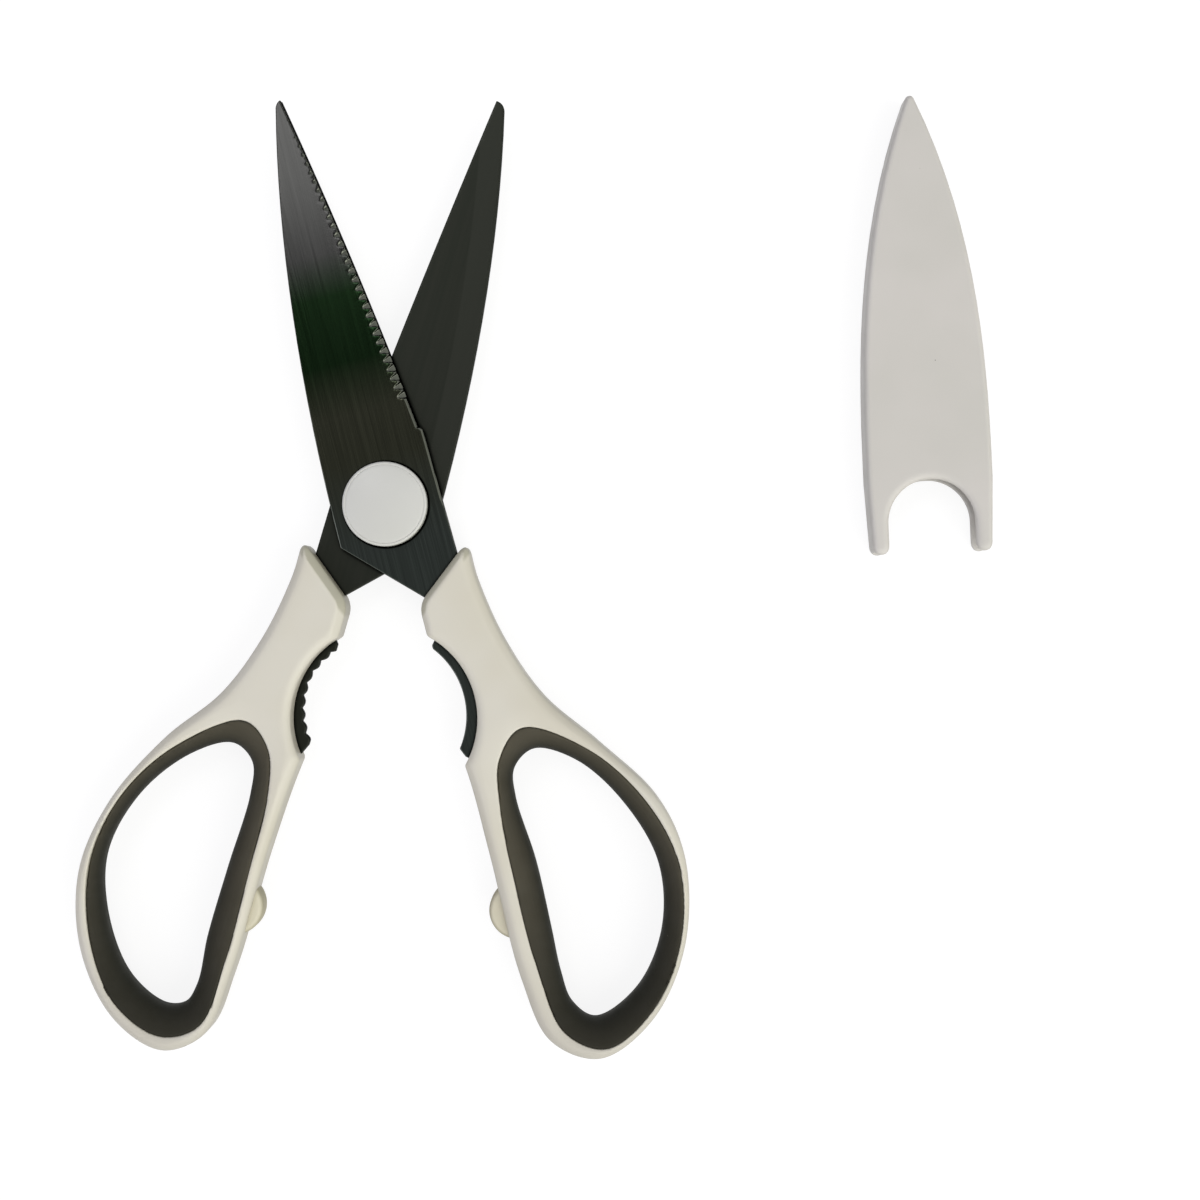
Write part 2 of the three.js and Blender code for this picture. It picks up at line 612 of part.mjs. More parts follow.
function half(side, bladeName, toothed, serrated) {
  const group = new THREE.Group();
  group.add(piece(bladeName, blade(toothed, serrated), COATED_STEEL));
  group.add(piece(`${side}_handle`, handle(), PALE_PLASTIC));
  group.add(piece(`${side}_loop_liner`, liner(), SOFT_LINER));
  group.add(piece(`${side}_stop_bumper`, bumper(0), CREAM_RUBBER));
  return group;
}

function placed(object, height, parent) {
  object.position.z = height;
  parent.add(object);
}

const shears = new THREE.Group();

const leftHalf = half('left', 'rear_blade', true, false);
leftHalf.rotation.z = radians(-OPENING / 2);
placed(leftHalf, halfThickness, shears);

const rightHalf = half('right', 'front_blade', false, true);
rightHalf.rotation.set(0, Math.PI, radians(-OPENING / 2));
placed(rightHalf, halfThickness, shears);

const frontFace = halfThickness - outerFace;
const headRoom = SCREW_HEAD_HEIGHT + FIT_GAP;
placed(piece('pivot_screw', pivotScrew(), BRIGHT_STEEL), frontFace + FIT_GAP, shears);
const frontCap = piece('front_cap', cap(SCREW_HEAD_RADIUS + FIT_GAP, headRoom, CAP_CROWN), CAP_PLASTIC);
placed(frontCap, frontFace + FIT_GAP, shears);

const washerBottom = halfThickness + outerFace - FIT_GAP - WASHER_THICKNESS;
const nutBottom = washerBottom - FIT_GAP - NUT_HEIGHT;
placed(piece('tension_washer', washer(), BRIGHT_STEEL), washerBottom, shears);
placed(piece('pivot_nut', nut(), BRIGHT_STEEL), nutBottom, shears);

const nutRoom = capHeight - nutBottom + FIT_GAP;
const rearCap = piece('rear_cap', cap(NUT_ACROSS / 2 + NUT_ROOM, nutRoom, 0), CAP_PLASTIC);
rearCap.rotation.x = Math.PI;
placed(rearCap, capHeight, shears);

const sheathMesh = piece('blade_sheath', sheath(), SHEATH_PLASTIC);
sheathMesh.position.set(SHEATH_PLACE[0], SHEATH_PLACE[1], 0);
sheathMesh.rotation.z = radians(SHEATH_LEAN);
shears.add(sheathMesh);

export default shears;
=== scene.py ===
"""Kitchen scissors with a blade sheath: the look of every surface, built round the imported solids.

Each half of the scissors is shaped once, in its own frame, in millimetres: the pivot at the origin, the seam
between the blades at height 0, the tip towards +Y, the cutting edge on the -X side and the handle towards -X
and -Y. The left half is turned into place, and the right half is the same shape turned over.

A shape is a field: a number for each point of a grid, negative inside, that comes close to the distance to
the surface. Fields are cut, rounded and blended as formulas, and a skin is then drawn where they are zero.
"""

import math

import bpy
import numpy as np
from mathutils import Matrix, Vector

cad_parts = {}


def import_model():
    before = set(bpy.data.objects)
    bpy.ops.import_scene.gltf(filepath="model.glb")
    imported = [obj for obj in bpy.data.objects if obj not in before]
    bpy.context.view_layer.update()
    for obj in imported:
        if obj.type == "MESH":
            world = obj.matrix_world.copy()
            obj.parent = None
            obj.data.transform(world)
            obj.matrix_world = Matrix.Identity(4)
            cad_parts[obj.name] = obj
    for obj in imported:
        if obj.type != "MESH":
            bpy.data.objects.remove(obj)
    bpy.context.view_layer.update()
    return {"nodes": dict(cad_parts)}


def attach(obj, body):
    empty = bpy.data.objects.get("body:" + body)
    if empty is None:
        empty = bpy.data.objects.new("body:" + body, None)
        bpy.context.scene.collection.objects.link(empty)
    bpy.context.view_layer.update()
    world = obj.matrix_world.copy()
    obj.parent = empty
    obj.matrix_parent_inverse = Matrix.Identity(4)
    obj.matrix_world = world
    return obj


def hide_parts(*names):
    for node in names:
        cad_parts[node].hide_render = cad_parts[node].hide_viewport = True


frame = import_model()

MM = 0.001

# The pair as it lies
OPENING = 30.6  # degrees between the halves
HANDLE_THICKNESS = 12
FIT_GAP = 0.1  # between pieces that seat on each other
BLADE_GAP = 0.1  # between the two blades

# Blades: the two differ a little in outline
BLADE_THICKNESS = 2.2
BLADE_REACH = 88  # of the longer one, beyond the pivot
SPINE_BEND = 46
TIP_CLIP = 1.3
HEEL_HEIGHT = 14
HEEL_STEP = 0.7
NECK_WIDTH = 11.4
NECK_DROP = 14
SHOULDER_DROP = 6.5
SPINE_WIDTH = 11.4  # that the sheath is made for
PIVOT_BORE = 3.08  # radius
BLADES = {
    "front": {
        "reach": 87.4, "heel": 10.8, "bow": 0.6, "edge_at_tip": 0.05, "spine_at_tip": 1.5,
        "spine": 11.45, "neck_flare": 0.5,
    },
    "rear": {
        "reach": 88, "heel": 9.3, "bow": 0.25, "edge_at_tip": 1.4, "spine_at_tip": 0.7,
        "spine": 11, "neck_flare": 0.2,
    },
}
EDGE_STEEP = 0.36  # width of the edge's steep face
EDGE_LAND = 0.2
EDGE_LINE = 0.45  # width of the fine bevel above it, at the heel
EDGE_LINE_END = (-18.5, -15.5, 16, 24)  # it begins, is full, and runs out again at these points from the heel
EDGE_SIDE = 7  # how far in from the edge's line the neck's bevel can matter
EDGE_NEARER = 0.05  # allowance for what counts as nearer to the edge than to the spine
EDGE_BLEND = 0.06
BLADE_ROUND = (0.2, 0.2)  # softened edges
SPINE_POWER = 2.2  # about how the spine falls off towards the tip
LAND_WIDTH = 5.6  # of the band along the spine, on the inner face
LAND_SOFTNESS = 0.2  # to either side of that band's border

# Ground scallops on the front blade, with a pointed nose and a floor that falls towards the edge
SCALLOP_COUNT = 30
SCALLOP_PITCH = 2.007
SCALLOPS_FROM_HEEL = 7.4
SCALLOP_REACH = 2.15  # from the cutting edge to the nose, at the heel
SCALLOP_REACH_AT_TIP = 0.95
SCALLOP_TAPER = 1.6  # how late the reach shrinks
SCALLOP_SLOPE = 0.5
SCALLOP_SLOPE_AT_TIP = 0.12
SCALLOP_HALF_WIDTH = 0.86
SCALLOP_LENGTH = 1.7  # where it is that wide, from its nose
SCALLOP_POINT = 0.75  # 1 for a straight point, less for a rounder nose
SCALLOP_WALL = 4  # slope of its sides
SCALLOP_BLEND = 0.05

# Nut-cracking jaws
NOTCH_OUT = 11.9
NOTCH_DROP = 42.6
NOTCH_RADIUS = 19.4
NOTCH_SHIFT = {"left": (0.25, -0.4), "right": (-0.5, -0.6)}  # in the handle, which covers the jaw's root
SMOOTH_JAW = 1.8
TOOTHED_JAW = 1.85
TOOTHED_JAW_RISE = 1  # towards its lower end
TOOTHED_JAW_WAIST = 0.62  # where it is lowest, as a share of its length
JAW_START = 138.5  # degrees round the notch, as is the end
JAW_END = 217.4
JAW_LEAD = 3  # degrees that the tang runs on
JAW_SET_BACK = 0.3  # of a jaw's upper end from the handle's inner side
TOOTH_COUNT = 9
TOOTH_DEPTH = 0.6
TANG_DEPTH = 4
TANG_COVER = 2.6

# Handles
HANDLE_ROUND = (2.8, 2.6)  # edge rounding, across and down
HANDLE_CROWN = 0.35  # how far the faces fall off towards their edges
CROWN_REACH = 4.5
END_DISTANCE = 18.2
END_SLANT = 38.6  # degrees
END_CHAMFER = {"left": 1.8, "right": 1.3}
END_CORNER = 2.6
NOTCH_ROUND = (2.4, 1.8)
HOLE_ROUND = (0.25, 0.25)
INNER_SIDE = 1.6
HORN_BLEND = 2.2
NOTCH_BLEND = 0.3
CHAMFER_BLEND = 0.3
SEAM_BLEND = 0.2
HANDLE_INNER = [(1.5, -20), (0.5, -40), (-2.4, -57.5)]
HANDLE_OUTER = [
    (-30.7, -59.4), (-21.9, -47), (-16.9, -33.5), (-14.55, -20), (-13.9, -7), (-8, 3), (0, -5),
]

# Finger loops: the left one is a little smaller than the right one
LOOPS = {
    "left": {
        "handle": [
            (-3.5, -76), (-3.8, -103.2), (-5.6, -116.4), (-13.2, -122.2), (-24.6, -118.8), (-35.2, -107),
            (-40.3, -91), (-38.2, -75.3),
        ],
        "liner": [
            (-15.4, -51.3), (-9.1, -55.7), (-6.4, -65.5), (-5.9, -81), (-5.5, -100), (-7.1, -114.8),
            (-14.4, -119), (-25.5, -114.8), (-34.4, -102.6), (-38.4, -87.6), (-35.8, -73), (-27.7, -60.1),
        ],
        "opening": [
            (-17, -56.8), (-12.2, -59.4), (-10.7, -66), (-11, -82), (-11.1, -97), (-10.4, -107.2),
            (-11.8, -111.8), (-16, -113.3), (-24.8, -109.3), (-32.9, -98.2), (-36.3, -86), (-33, -72.3),
            (-25, -61.4),
        ],
    },
    "right": {
        "handle": [
            (-2.7, -76), (-2.6, -103), (-5.3, -117), (-14.4, -123.1), (-27, -118), (-37.3, -104.9),
            (-42, -87), (-39.6, -73.6),
        ],
        "liner": [
            (-15.9, -52.2), (-9.7, -57.4), (-7.4, -67), (-6.5, -82), (-6.5, -101), (-8.7, -115.6),
            (-16.4, -121), (-28.2, -115.1), (-37, -102.7), (-40.4, -87.3), (-36.9, -73), (-28.3, -60.1),
        ],
        "opening": [
            (-17, -57.2), (-12, -60.2), (-10.8, -66), (-11.6, -80), (-11.2, -94), (-10.8, -104),
            (-11.5, -110.6), (-15.4, -114.9), (-25.5, -111), (-33.6, -100.3), (-36.3, -86.5),
            (-32.1, -72.1), (-24.9, -61.6),
        ],
    },
}
LINER_SINK = 0.25
LINER_OVERLAP = 0.05  # into the handle, so that no gap shows
LINER_LIP = (0.2, 0.2)
LINER_ROUND = (6.2, 5.2)

# Stop bumpers
BUMPER_GAP = 0.2
BUMPER_RADIUS = 6
BUMPER_DROP = 88.6
BUMPER_DEPTH = 4.8
BUMPER_THICKNESS = 6
BUMPER_ROUND = (1.1, 1.1)
BUMPER_BURIED = 1.6  # how far its back reaches into the handle
BUMPER_SHIFT = {"left": (-1, -0.7), "right": (0.7, -0.4)}

# Pivot
CAP_RADIUS = 8.8
CAP_FOOT = 0.5  # how far its foot stands in under the rim
CAP_GAP = 0.35  # between the rim and the blade
CAP_EDGE = 0.5
CAP_CROWN = 0.85
CAP_LINE = 0.24  # width of the fine line inside the rim
CAP_LINE_DEPTH = 0.1
PAINTED_CAP_SHADOW = (9.32, 9.17)  # from the pivot: where the painted shadow round the cap begins on the blade, and where it is full
CAP_SEGMENTS = 144

# Sheath
SHEATH_WALL = 1.4
SHEATH_SIDE_ROOM = 0.4
SHEATH_TIP_ROOM = 0.6
SHEATH_FACE_ROOM = 0.4
SHEATH_TIP_WIDTH = 0.8
SHEATH_MOUTH = 6.5
SHEATH_BEYOND = 10  # how far the cuts run on past the mouth
SHEATH_ROUND = (0.9, 1.5)
SHEATH_SWEEP = -0.9  # how far its point leans to the left
SHEATH_LIP = (1.6, 1.2)  # rounding of the lip round the cap
ARM_CORNER = 2.2
ARM_TAPER = 0.6
ROOM_CORNER = 0.5
CUT_OUT_RADIUS = 9.05
SHEATH_PLACE = (114.3, -2.2)  # the middle of its cut-out
SHEATH_LEAN = 3.2  # degrees

# How finely the skins are drawn
HANDLE_CELL = 0.32
LINER_CELL = 0.42
BUMPER_CELL = 0.3
SHEATH_CELL = 0.36
BLADE_CELL = 0.17
KEPT_FACES = 0.25  # share of a skin's faces that is kept
BLADE_KEPT_FACES = 0.18
CURVE_STEPS = 16
CHUNK = 4000  # points measured at a time
GRID_START = 1.63  # cells before a shape begins, so that no flat face falls on the grid
GRID_END = 3  # cells after it ends
SHEET_SHARE = 0.1  # of a cell, the depth of a point that is filled in between two sheets
HANDLE_SPAN = ((-43, -124), (2.5, -4))  # lowest and highest corner of each grid, seen from above
BLADE_SPAN = ((-14, -58), (12, 89))
BUMPER_SPAN = ((-7, -95), (1, -82))
SHEATH_SPAN = ((-14, -8), (14, 91))
FAR = 200  # beyond all of a half
TINY = 1e-12
EVEN_WEIGHT = 60  # of the larger faces in the shading

# Colours, written as in a picture
# Painted shade on a handle's slanted end and on its lowest part
PAINTED_END_SHADE = "#98977f"
PAINTED_FOOT_SHADE = "#a9a6a3"
PLASTIC_SPECK = "#6d6a5c"
# The neck, olive, green and tip tones are painted reflections along the outer face; the last three are
# painted shade: round the cap, on steep edges and in corners
BLADE_COLOURS = {
    "neck": "#575f5a", "olive": "#4e5042", "green": "#1f331e", "tip": "#434342", "ground": "#6c6f66",
    "inner": "#363832", "inner_shade": "#32352f", "spine_band": "#3d3f39", "speck": "#b9b9b2",
    "painted_cap_shadow": "#080907", "painted_edge_shade": "#1a1b18", "corner": "#0c0d0b",
}
STEEL = ("#a9aaa6", "#b9bab6")

# Where a colour begins and where it is full, in a half's own frame
# Painted shade on the handle's end and foot and at the liner's foot; painted reflections along the blade
PAINTED_END_SHADE_BAND = (-2.4, -1.8)  # from the slanted end
PAINTED_FOOT_SHADE_ZONE = (-96, -122)  # along Y, as are the next two
LINER_PAINTED_FOOT_SHADE_ZONE = (-76, -112)
PAINTED_REFLECTION_ZONES = {"olive": (-8, 10), "green": (20, 31), "tip": (45, 54)}
GROUND_DEPTH = (0.01, 0.05)  # below the blade's outer face

# Floor, light and camera, in metres and watts
FLOOR_SIZE = 8
FLOOR_DROP = 0.3  # millimetres below the object, so that the two never touch
FLOOR_PAINT = 0.22
FLOOR_GLOW = 0.85
SKY = ((0.0, 0.5), (0.3, 0.7), (0.72, 0.7), (0.9, 0.3), (1.0, 0.22))  # height and level
SKY_SIDE = (0.8, -0.6, 0)  # towards its brighter, warmer side
SKY_DIM = (0.55, 0.54, 0.64, 1)
SKY_BRIGHT = (1.45, 1.44, 1.36, 1)
LAMPS = {
    "upper_left_box": {
        "place": (-0.26, 0.4, 0.75), "aim": (-0.26, 0.4, 0), "size": (0.4, 0.406),
        "power": 1.3, "colour": (1, 1, 1),
    },
    "key_box": {
        "place": (0.52, -0.42, 0.5), "aim": (0, 0, 0), "size": (1, 1),
        "power": 3.9, "colour": (1, 0.985, 0.945),
    },
    "left_box": {
        "place": (-0.6, -0.25, 0.5), "aim": (0, 0, 0), "size": (0.5, 0.5),
        "power": 1.0, "colour": (0.88, 0.86, 1),
    },
}
CAMERA_PLACE = (0.045, -0.01936, 0.42)
CAMERA_FIELD = 33.86  # degrees
CAMERA_ROLL = 0.75  # degrees

# Worked out from the above
half_thickness = HANDLE_THICKNESS / 2
inner_face = -BLADE_GAP / 2
outer_face = inner_face - BLADE_THICKNESS
cap_height = half_thickness + outer_face - FIT_GAP
notch_centre = np.array([NOTCH_OUT, -NOTCH_DROP])
bumper_centre = np.array([-BUMPER_GAP / 2 - BUMPER_RADIUS, -BUMPER_DROP])
end_out = np.array([math.sin(math.radians(END_SLANT)), math.cos(math.radians(END_SLANT))])
end_along = np.array([end_out[1], -end_out[0]])
sheath_inner = BLADE_THICKNESS + BLADE_GAP / 2 + SHEATH_FACE_ROOM
sheath_outer = sheath_inner + SHEATH_WALL

turn = Matrix.Rotation(math.radians(-OPENING / 2), 4, "Z")
raise_to_seam = Matrix.Translation((0, 0, half_thickness * MM))
LEFT_HALF = raise_to_seam @ turn
RIGHT_HALF = raise_to_seam @ Matrix.Rotation(math.pi, 4, "Y") @ turn
SHEATH_AT = Matrix.Translation((SHEATH_PLACE[0] * MM, SHEATH_PLACE[1] * MM, sheath_outer * MM))
SHEATH_AT = SHEATH_AT @ Matrix.Rotation(math.radians(SHEATH_LEAN), 4, "Z")


# Curves

def loop(points):
    """A smooth closed curve through the points."""
    here = np.array(points, float)
    before = np.roll(here, 1, axis=0)
    after = np.roll(here, -1, axis=0)
    beyond = np.roll(here, -2, axis=0)

    def span(a, b):
        return np.sqrt(np.linalg.norm(b - a, axis=1))[:, None]

    first, middle, last = span(before, here), span(here, after), span(after, beyond)
    leave = (here - before) / first - (after - before) / (first + middle) + (after - here) / middle
    arrive = (after - here) / middle - (beyond - here) / (middle + last) + (beyond - after) / last
    leave, arrive = leave * middle, arrive * middle
    t = np.linspace(0, 1, CURVE_STEPS, endpoint=False)[:, None, None]
    curve = here + leave * t
    curve = curve + (3 * (after - here) - 2 * leave - arrive) * t ** 2
    curve = curve + (2 * (here - after) + leave + arrive) * t ** 3
    return curve.transpose(1, 0, 2).reshape(-1, 2)


def bend(*controls):
    """Points on the Bezier curve with these three or four control points, without the first."""
    t = np.linspace(0, 1, CURVE_STEPS + 1)[1:, None]
    points = [np.array(c, float) * np.ones_like(t) for c in controls]
    while len(points) > 1:
        points = [a + (b - a) * t for a, b in zip(points, points[1:])]
    return points[0]


def arc(centre, radius, start, end, steps=3 * CURVE_STEPS):
    """Points on an arc between two angles in degrees."""
    angle = np.radians(np.linspace(start, end, steps + 1))
    return np.array(centre) + np.stack([np.cos(angle), np.sin(angle)], axis=1) * np.reshape(radius, (-1, 1))


def outline(*stretches):
    """One closed outline from points and rows of points."""
    return np.concatenate([np.reshape(np.array(s, float), (-1, 2)) for s in stretches])


# Fields

def to_outline(points, shape):
    """Signed distance from flat points to a closed outline, negative inside."""
    start, end = shape, np.roll(shape, -1, axis=0)
    edge = end - start
    square = np.maximum((edge ** 2).sum(1), TINY)
    result = np.empty(len(points))
    for first in range(0, len(points), CHUNK):
        point = points[first:first + CHUNK, None, :]
        way = point - start
        share = np.clip((way * edge).sum(2) / square, 0, 1)
        gap = way - share[..., None] * edge
        near = np.sqrt((gap ** 2).sum(2).min(1))
        crossed = (start[:, 1] > point[..., 1]) != (end[:, 1] > point[..., 1])
        left = edge[:, 0] * way[..., 1] - edge[:, 1] * way[..., 0] > 0
        inside = (crossed & (left == (edge[:, 1] > 0))).sum(1) % 2 == 1
        result[first:first + CHUNK] = np.where(inside, -near, near)
    return result


def both(a, b, blend):
    """What two fields share, with their meeting edge rounded off."""
    share = np.clip(0.5 + 0.5 * (a - b) / blend, 0, 1)
    return b + (a - b) * share + blend * share * (1 - share)


def rounded(side, face, size):
    """What a side and a face share, with an elliptical edge that reaches size across and down."""
    across = np.maximum(side + size[0], 0) / size[0]
    down = np.maximum(face + size[1], 0) / size[1]
    edge = (np.hypot(across, down) - 1) * min(size)
    return np.where((across > 0) & (down > 0), edge, np.maximum(side, face))


def bevel(side, face, size):
    """All that lies within a flat edge at 45 degrees between a side and a face."""
    return (side + face + size) * math.sqrt(0.5)


def part_sheets(values, thin):
    """Fills in the checkerboard squares of a grid, at which two sheets of a skin would share an edge."""
    changed = True
    while changed:
        changed = False
        for axis in range(3):
            square = np.moveaxis(values, axis, 0)
            near, far = square[:, :-1], square[:, 1:]
            for a, b, c, d in (
                (near[:, :, :-1], far[:, :, :-1], near[:, :, 1:], far[:, :, 1:]),
                (far[:, :, :-1], near[:, :, :-1], far[:, :, 1:], near[:, :, 1:]),
            ):
                crossed = (a < 0) & (d < 0) & (b >= 0) & (c >= 0)
                b[crossed] = -thin
                changed = changed or crossed.any()


def skin(span, heights, cell, plan, shape):
    """Points and four-sided faces of the skin of a shape that lies between two corners and two heights.

    Plan measures points seen from above, and shape adds the height to those measures.
    """
    low, high = (*span[0], heights[0]), (*span[1], heights[1])
    axes = [np.arange(a - GRID_START * cell, b + GRID_END * cell, cell) for a, b in zip(low, high)]
    flat = np.stack(np.meshgrid(axes[0], axes[1], indexing="ij"), axis=-1).reshape(-1, 2)
    measures = [m.reshape(len(axes[0]), len(axes[1]), 1) for m in plan(flat)]
    values = np.array(np.broadcast_to(shape(axes[2], *measures), [len(a) for a in axes]))
    part_sheets(values, SHEET_SHARE * cell)
    cells = tuple(len(a) - 1 for a in axes)
    corners = [(i, j, k) for i in (0, 1) for j in (0, 1) for k in (0, 1)]

    def at(grid, corner):
        return grid[tuple(slice(c, c + n) for c, n in zip(corner, cells))]

    solid = values < 0
    filled = sum(at(solid, c).astype(np.int8) for c in corners)
    crossed = (filled > 0) & (filled < len(corners))
    index = np.full(cells, -1)
    index[crossed] = np.arange(crossed.sum())
    levels = np.stack([at(values, c)[crossed] for c in corners], axis=1)
    total = np.zeros((len(levels), 3))
    hits = np.zeros((len(levels), 1))
    for a, start in enumerate(corners):
        for b, end in enumerate(corners):
            if b < a or sum(abs(p - q) for p, q in zip(start, end)) != 1:
                continue
            cut = (levels[:, a] < 0) != (levels[:, b] < 0)
            share = levels[cut, a] / (levels[cut, a] - levels[cut, b])
            total[cut] += np.array(start) + share[:, None] * (np.array(end) - np.array(start))
            hits[cut] += 1
    origin = np.array([a[0] for a in axes])
    points = origin + (np.argwhere(crossed) + total / hits) * cell
    faces = []
    for axis in range(3):
        one, two = (axis + 1) % 3, (axis + 2) % 3
        low_side = [slice(1, -1)] * 3
        low_side[axis] = slice(0, -1)
        high_side = list(low_side)
        high_side[axis] = slice(1, None)
        below, above = solid[tuple(low_side)], solid[tuple(high_side)]
        place = np.argwhere(below != above)
        outward = below[tuple(place.T)]
        place = place + 1
        place[:, axis] -= 1
        ring = []
        for back_one, back_two in ((1, 1), (0, 1), (0, 0), (1, 0)):
            spot = place.copy()
            spot[:, one] -= back_one
            spot[:, two] -= back_two
            ring.append(index[tuple(spot.T)])
        quad = np.stack(ring, axis=1)
        quad[~outward] = quad[~outward][:, ::-1]
        faces.append(quad)
    return points, np.concatenate(faces).tolist()


# Pieces

def keep_place(mesh):
    """Stores where each point lies in its half's own frame, in millimetres, for the materials."""
    place = np.empty(3 * len(mesh.vertices), np.float32)
    mesh.vertices.foreach_get("co", place)
    kept = mesh.attributes.new("place", "FLOAT_VECTOR", "POINT")
    kept.data.foreach_set("vector", place / MM)


def piece(name, points, faces, place, material, body, slot, kept=KEPT_FACES):
    """A mesh that stands for the solid of the same name."""
    mesh = bpy.data.meshes.new(name)
    mesh.from_pydata((points * MM).tolist(), [], faces)
    obj = bpy.data.objects.new(name + "_look", mesh)
    bpy.context.scene.collection.objects.link(obj)
    if kept < 1:
        thinner = obj.modifiers.new("thinner", "DECIMATE")
        thinner.ratio = kept
        bpy.context.view_layer.update()
        evaluated = obj.evaluated_get(bpy.context.evaluated_depsgraph_get())
        thin = bpy.data.meshes.new_from_object(evaluated)
        obj.modifiers.clear()
        obj.data = thin
        bpy.data.meshes.remove(mesh)
    keep_place(obj.data)
    obj.data.transform(place)
    obj.data.shade_smooth()
    even = obj.modifiers.new("even_shading", "WEIGHTED_NORMAL")
    even.mode = "FACE_AREA"
    even.weight = EVEN_WEIGHT
    obj.data.materials.clear()
    obj.data.materials.append(material)
    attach(obj, body)
    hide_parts(name)


# Materials

def linear(code):
    """A colour written as in a picture, as the shader's numbers."""
    parts = [int(code[i:i + 2], 16) / 255 for i in (1, 3, 5)]
    return [p / 12.92 if p <= 0.04045 else ((p + 0.055) / 1.055) ** 2.4 for p in parts] + [1]


class Nodes:
    """A node tree, with short ways to add nodes and join them."""

    def __init__(self, tree):
        self.tree = tree

    def node(self, kind, links=(), **settings):
        made = self.tree.nodes.new("ShaderNode" + kind)
        for key, value in settings.items():
            setattr(made, key, value)
        for socket, value in dict(links).items():
            self.put(value, made.inputs[socket])
        return made

    def put(self, value, socket):
        if isinstance(value, bpy.types.NodeSocket):
            self.tree.links.new(value, socket)
        else:
            socket.default_value = value

    def math(self, operation, a, b=0.0):
        return self.node("Math", {0: a, 1: b}, operation=operation).outputs[0]

    def parts(self, vector):
        """A vector's X, Y and Z."""
        return self.node("SeparateXYZ", {0: vector}).outputs

    def scaled(self, vector, factor):
        return self.node("VectorMath", {0: vector, "Scale": factor}, operation="SCALE").outputs[0]

    def along(self, vector, way):
        """How far a vector reaches along a way of length 1."""
        return self.node("VectorMath", {0: vector, 1: way}, operation="DOT_PRODUCT").outputs["Value"]

    def ramp(self, value, low, high, to_low=0, to_high=1):
        links = {"Value": value, "From Min": low, "From Max": high, "To Min": to_low, "To Max": to_high}
        return self.node("MapRange", links).outputs[0]

    def mix(self, share, a, b):
        made = self.node("Mix", data_type="RGBA")
        for value, socket in ((share, made.inputs[0]), (a, made.inputs[6]), (b, made.inputs[7])):
            self.put(value, socket)
        return made.outputs[2]


class Paint(Nodes):
    """A material that is painted by where a point lies on its piece, in millimetres."""

    def __init__(self, name, **settings):
        self.material = bpy.data.materials.new(name)
        self.material.use_nodes = True
        super().__init__(self.material.node_tree)
        self.shader = self.tree.nodes["Principled BSDF"]
        for socket, value in settings.items():
            self.shader.inputs[socket.replace("_", " ")].default_value = value
        self.place = self.node("Attribute", attribute_name="place").outputs["Vector"]

    def in_millimetres(self):
        """The object's own coordinates, for a solid that came with the frame."""
        return self.scaled(self.node("TexCoord").outputs["Object"], 1 / MM)

    def noise(self, size, stretch=(1, 1, 1), detail=2):
        """Cloudy values with features of about this size in millimetres."""
        scale = [1 / (size * s) for s in stretch]
        spread = self.node("Mapping", {"Vector": self.place, "Scale": scale})
        noise = self.node("TexNoise", {"Vector": spread.outputs[0], "Scale": 1, "Detail": detail})
        return noise.outputs["Fac"]

    def specks(self, spacing, size, share):
        """Scattered round specks: 1 inside a speck, 0 elsewhere."""
        cells = self.node("TexVoronoi", {"Vector": self.place, "Scale": 1 / spacing})
        near = self.ramp(cells.outputs["Distance"], size / spacing, 0.6 * size / spacing)
        pick = self.node("SeparateColor", {"Color": cells.outputs["Color"]})
        return self.math("MULTIPLY", near, self.ramp(pick.outputs[0], share, share - 0.01))

    def steep(self, start, end, normal="Normal"):
        """0 where the surface leans less than start, 1 where it leans more than end, in degrees."""
        normal = self.node("NewGeometry").outputs[normal]
        upright = self.math("ABSOLUTE", self.parts(normal)["Z"])
        return self.ramp(upright, math.cos(math.radians(start)), math.cos(math.radians(end)))

    def corner(self, reach, share, begin=0.8, full=0.2):
        """A mask for painted shade: up to this share in corners that are closed in within the reach, 0 in the
        open.
        """
        view = self.node("AmbientOcclusion", {"Distance": reach * MM}, samples=8)
        return self.ramp(view.outputs["AO"], begin, full, 0, share)

    def bump(self, height, depth):
        """Bump from a value between 0 and 1 that stands for a depth in millimetres."""
        links = {"Height": height, "Distance": depth * MM, "Strength": 1}
        self.put(self.node("Bump", links).outputs[0], self.shader.inputs["Normal"])

    def finish(self, colour, roughness):
        self.put(colour, self.shader.inputs["Base Color"])
        self.put(roughness, self.shader.inputs["Roughness"])
        return self.material


